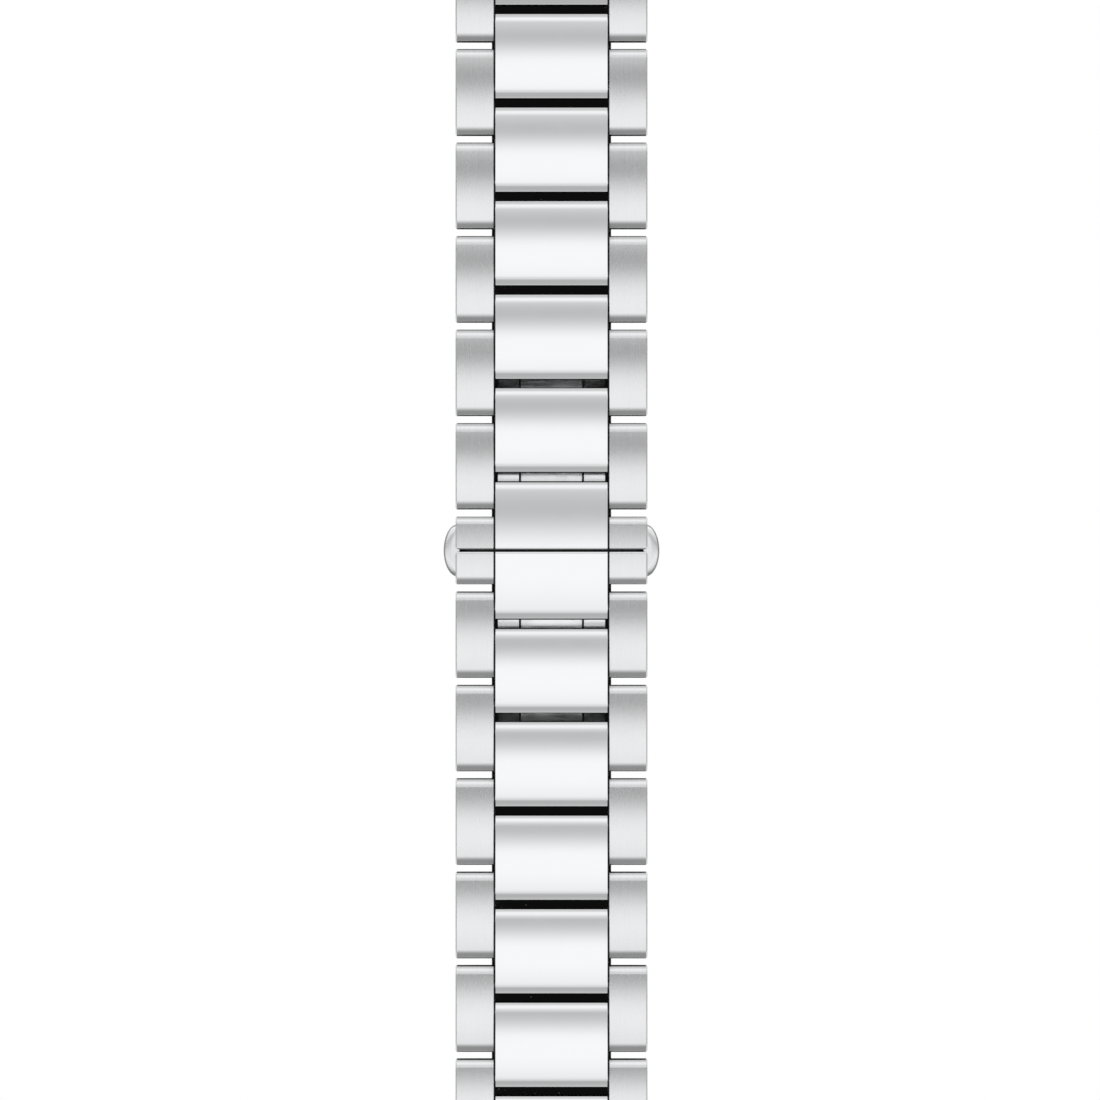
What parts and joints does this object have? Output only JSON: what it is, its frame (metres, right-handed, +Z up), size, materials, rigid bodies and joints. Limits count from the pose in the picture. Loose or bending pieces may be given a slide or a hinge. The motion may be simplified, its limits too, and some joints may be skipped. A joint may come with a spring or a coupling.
{
  "type": "watch bracelet",
  "caption": "Steel link watch bracelet with polished centre and brushed outer links, a hidden folding clasp with side push buttons, and sprung bars at its ends.",
  "frame": {"origin": "centre of the bounding box's bottom face: on the table, below the split between the two clasp covers", "axes": "+Y runs along the bracelet towards the half that is at the top of the picture, +X to the right of the picture, +Z up out of the outer face"},
  "size_m": [0.0226, 0.1436, 0.0077],
  "materials": {
    "polished_steel": "mirror polished stainless steel",
    "brushed_steel": "stainless steel brushed along the bracelet",
    "clasp_steel": "lightly polished stainless steel blades",
    "pin_steel": "ground stainless steel",
    "spring_steel": "drawn spring wire"
  },
  "bodies": {
    "bridge": {"bridge": "clasp_steel", "bridge_pins": "pin_steel", "button_spring_left": "spring_steel", "button_spring_right": "spring_steel"},
    "button_left": {"button_left": "polished_steel"},
    "button_right": {"button_right": "polished_steel"},
    "upper_arm": {"upper_arm": "clasp_steel", "upper_cover_pin": "pin_steel"},
    "upper_cover": {"upper_cover_centre": "polished_steel", "upper_cover_sides": "brushed_steel"},
    "upper_outer_1": {"upper_outer_links_1": "brushed_steel", "upper_link_pins_1": "pin_steel"},
    "upper_centre_1": {"upper_centre_link_1": "polished_steel"},
    "upper_outer_2": {"upper_outer_links_2": "brushed_steel", "upper_link_pins_2": "pin_steel"},
    "upper_centre_2": {"upper_centre_link_2": "polished_steel"},
    "upper_outer_3": {"upper_outer_links_3": "brushed_steel", "upper_link_pins_3": "pin_steel"},
    "upper_centre_3": {"upper_centre_link_3": "polished_steel"},
    "upper_outer_4": {"upper_outer_links_4": "brushed_steel", "upper_link_pins_4": "pin_steel"},
    "upper_centre_4": {"upper_centre_link_4": "polished_steel"},
    "upper_outer_5": {"upper_outer_links_5": "brushed_steel", "upper_link_pins_5": "pin_steel"},
    "upper_centre_5": {"upper_centre_link_5": "polished_steel"},
    "upper_outer_6": {"upper_outer_links_6": "brushed_steel", "upper_link_pins_6": "pin_steel"},
    "upper_centre_6": {"upper_centre_link_6": "polished_steel"},
    "upper_end": {"upper_end_link": "brushed_steel", "upper_end_pin": "pin_steel", "upper_spring_bar": "pin_steel"},
    "upper_tip_left": {"upper_bar_tip_left": "pin_steel"},
    "upper_tip_right": {"upper_bar_tip_right": "pin_steel"},
    "lower_arm": {"lower_arm": "clasp_steel", "lower_cover_pin": "pin_steel"},
    "lower_cover": {"lower_cover_centre": "polished_steel", "lower_cover_sides": "brushed_steel"},
    "lower_outer_1": {"lower_outer_links_1": "brushed_steel", "lower_link_pins_1": "pin_steel"},
    "lower_centre_1": {"lower_centre_link_1": "polished_steel"},
    "lower_outer_2": {"lower_outer_links_2": "brushed_steel", "lower_link_pins_2": "pin_steel"},
    "lower_centre_2": {"lower_centre_link_2": "polished_steel"},
    "lower_outer_3": {"lower_outer_links_3": "brushed_steel", "lower_link_pins_3": "pin_steel"},
    "lower_centre_3": {"lower_centre_link_3": "polished_steel"},
    "lower_outer_4": {"lower_outer_links_4": "brushed_steel", "lower_link_pins_4": "pin_steel"},
    "lower_centre_4": {"lower_centre_link_4": "polished_steel"},
    "lower_outer_5": {"lower_outer_links_5": "brushed_steel", "lower_link_pins_5": "pin_steel"},
    "lower_centre_5": {"lower_centre_link_5": "polished_steel"},
    "lower_outer_6": {"lower_outer_links_6": "brushed_steel", "lower_link_pins_6": "pin_steel"},
    "lower_centre_6": {"lower_centre_link_6": "polished_steel"},
    "lower_end": {"lower_end_link": "brushed_steel", "lower_end_pin": "pin_steel", "lower_spring_bar": "pin_steel"},
    "lower_tip_left": {"lower_bar_tip_left": "pin_steel"},
    "lower_tip_right": {"lower_bar_tip_right": "pin_steel"}
  },
  "joints": [
    {"name": "button_left_press", "type": "slide", "parent": "bridge", "child": "button_left", "axis": [1, 0, 0], "range_m": [0, 0.0006], "stiffness_N_per_m": 400, "springref_m": -0.002, "deforming": ["button_spring_left"]},
    {"name": "button_right_press", "type": "slide", "parent": "bridge", "child": "button_right", "axis": [-1, 0, 0], "range_m": [0, 0.0006], "stiffness_N_per_m": 400, "springref_m": -0.002, "deforming": ["button_spring_right"]},
    {"name": "upper_arm_open", "type": "hinge", "parent": "bridge", "child": "upper_arm", "pos_m": [0, 0.0195, 0.0011], "axis": [-1, 0, 0], "range_deg": [0, 160]},
    {"name": "upper_cover_turn", "type": "hinge", "parent": "upper_arm", "child": "upper_cover", "pos_m": [0, 0.0017, 0.00378], "axis": [1, 0, 0], "range_deg": [0, 160]},
    {"name": "upper_hinge_1", "type": "hinge", "parent": "upper_cover", "child": "upper_outer_1", "pos_m": [0, 0.00558, 0.0058], "axis": [-1, 0, 0], "range_deg": [-8, 7]},
    {"name": "upper_hinge_2", "type": "hinge", "parent": "upper_outer_1", "child": "upper_centre_1", "pos_m": [0, 0.00972, 0.0058], "axis": [-1, 0, 0], "range_deg": [-8, 10]},
    {"name": "upper_hinge_3", "type": "hinge", "parent": "upper_centre_1", "child": "upper_outer_2", "pos_m": [0, 0.01533, 0.0058], "axis": [-1, 0, 0], "range_deg": [-8, 16]},
    {"name": "upper_hinge_4", "type": "hinge", "parent": "upper_outer_2", "child": "upper_centre_2", "pos_m": [0, 0.01947, 0.0058], "axis": [-1, 0, 0], "range_deg": [-8, 16]},
    {"name": "upper_hinge_5", "type": "hinge", "parent": "upper_centre_2", "child": "upper_outer_3", "pos_m": [0, 0.02508, 0.0058], "axis": [-1, 0, 0], "range_deg": [-8, 16]},
    {"name": "upper_hinge_6", "type": "hinge", "parent": "upper_outer_3", "child": "upper_centre_3", "pos_m": [0, 0.02923, 0.0058], "axis": [-1, 0, 0], "range_deg": [-8, 16]},
    {"name": "upper_hinge_7", "type": "hinge", "parent": "upper_centre_3", "child": "upper_outer_4", "pos_m": [0, 0.03483, 0.0058], "axis": [-1, 0, 0], "range_deg": [-8, 16]},
    {"name": "upper_hinge_8", "type": "hinge", "parent": "upper_outer_4", "child": "upper_centre_4", "pos_m": [0, 0.03898, 0.0058], "axis": [-1, 0, 0], "range_deg": [-8, 16]},
    {"name": "upper_hinge_9", "type": "hinge", "parent": "upper_centre_4", "child": "upper_outer_5", "pos_m": [0, 0.04457, 0.0058], "axis": [-1, 0, 0], "range_deg": [-8, 16]},
    {"name": "upper_hinge_10", "type": "hinge", "parent": "upper_outer_5", "child": "upper_centre_5", "pos_m": [0, 0.04872, 0.0058], "axis": [-1, 0, 0], "range_deg": [-8, 16]},
    {"name": "upper_hinge_11", "type": "hinge", "parent": "upper_centre_5", "child": "upper_outer_6", "pos_m": [0, 0.05432, 0.0058], "axis": [-1, 0, 0], "range_deg": [-8, 16]},
    {"name": "upper_hinge_12", "type": "hinge", "parent": "upper_outer_6", "child": "upper_centre_6", "pos_m": [0, 0.05847, 0.0058], "axis": [-1, 0, 0], "range_deg": [-8, 16]},
    {"name": "upper_hinge_13", "type": "hinge", "parent": "upper_centre_6", "child": "upper_end", "pos_m": [0, 0.06407, 0.0058], "axis": [-1, 0, 0], "range_deg": [-8, 16]},
    {"name": "upper_tip_left_press", "type": "slide", "parent": "upper_end", "child": "upper_tip_left", "axis": [1, 0, 0], "range_m": [0, 0.0009], "stiffness_N_per_m": 300, "springref_m": -0.003},
    {"name": "upper_tip_right_press", "type": "slide", "parent": "upper_end", "child": "upper_tip_right", "axis": [-1, 0, 0], "range_m": [0, 0.0009], "stiffness_N_per_m": 300, "springref_m": -0.003},
    {"name": "lower_arm_open", "type": "hinge", "parent": "bridge", "child": "lower_arm", "pos_m": [0, -0.0195, 0.0011], "axis": [1, 0, 0], "range_deg": [0, 160]},
    {"name": "lower_cover_turn", "type": "hinge", "parent": "lower_arm", "child": "lower_cover", "pos_m": [0, -0.0017, 0.00378], "axis": [-1, 0, 0], "range_deg": [0, 160]},
    {"name": "lower_hinge_1", "type": "hinge", "parent": "lower_cover", "child": "lower_outer_1", "pos_m": [0, -0.00558, 0.0058], "axis": [1, 0, 0], "range_deg": [-8, 7]},
    {"name": "lower_hinge_2", "type": "hinge", "parent": "lower_outer_1", "child": "lower_centre_1", "pos_m": [0, -0.00972, 0.0058], "axis": [1, 0, 0], "range_deg": [-8, 10]},
    {"name": "lower_hinge_3", "type": "hinge", "parent": "lower_centre_1", "child": "lower_outer_2", "pos_m": [0, -0.01533, 0.0058], "axis": [1, 0, 0], "range_deg": [-8, 16]},
    {"name": "lower_hinge_4", "type": "hinge", "parent": "lower_outer_2", "child": "lower_centre_2", "pos_m": [0, -0.01947, 0.0058], "axis": [1, 0, 0], "range_deg": [-8, 16]},
    {"name": "lower_hinge_5", "type": "hinge", "parent": "lower_centre_2", "child": "lower_outer_3", "pos_m": [0, -0.02508, 0.0058], "axis": [1, 0, 0], "range_deg": [-8, 16]},
    {"name": "lower_hinge_6", "type": "hinge", "parent": "lower_outer_3", "child": "lower_centre_3", "pos_m": [0, -0.02923, 0.0058], "axis": [1, 0, 0], "range_deg": [-8, 16]},
    {"name": "lower_hinge_7", "type": "hinge", "parent": "lower_centre_3", "child": "lower_outer_4", "pos_m": [0, -0.03483, 0.0058], "axis": [1, 0, 0], "range_deg": [-8, 16]},
    {"name": "lower_hinge_8", "type": "hinge", "parent": "lower_outer_4", "child": "lower_centre_4", "pos_m": [0, -0.03898, 0.0058], "axis": [1, 0, 0], "range_deg": [-8, 16]},
    {"name": "lower_hinge_9", "type": "hinge", "parent": "lower_centre_4", "child": "lower_outer_5", "pos_m": [0, -0.04457, 0.0058], "axis": [1, 0, 0], "range_deg": [-8, 16]},
    {"name": "lower_hinge_10", "type": "hinge", "parent": "lower_outer_5", "child": "lower_centre_5", "pos_m": [0, -0.04872, 0.0058], "axis": [1, 0, 0], "range_deg": [-8, 16]},
    {"name": "lower_hinge_11", "type": "hinge", "parent": "lower_centre_5", "child": "lower_outer_6", "pos_m": [0, -0.05432, 0.0058], "axis": [1, 0, 0], "range_deg": [-8, 16]},
    {"name": "lower_hinge_12", "type": "hinge", "parent": "lower_outer_6", "child": "lower_centre_6", "pos_m": [0, -0.05847, 0.0058], "axis": [1, 0, 0], "range_deg": [-8, 16]},
    {"name": "lower_hinge_13", "type": "hinge", "parent": "lower_centre_6", "child": "lower_end", "pos_m": [0, -0.06407, 0.0058], "axis": [1, 0, 0], "range_deg": [-8, 16]},
    {"name": "lower_tip_left_press", "type": "slide", "parent": "lower_end", "child": "lower_tip_left", "axis": [1, 0, 0], "range_m": [0, 0.0009], "stiffness_N_per_m": 300, "springref_m": -0.003},
    {"name": "lower_tip_right_press", "type": "slide", "parent": "lower_end", "child": "lower_tip_right", "axis": [-1, 0, 0], "range_m": [0, 0.0009], "stiffness_N_per_m": 300, "springref_m": -0.003}
  ],
  "couplings": [
    {"joint": "upper_cover_turn", "follows": "upper_arm_open", "ratio": 1},
    {"joint": "lower_cover_turn", "follows": "lower_arm_open", "ratio": 1}
  ]
}
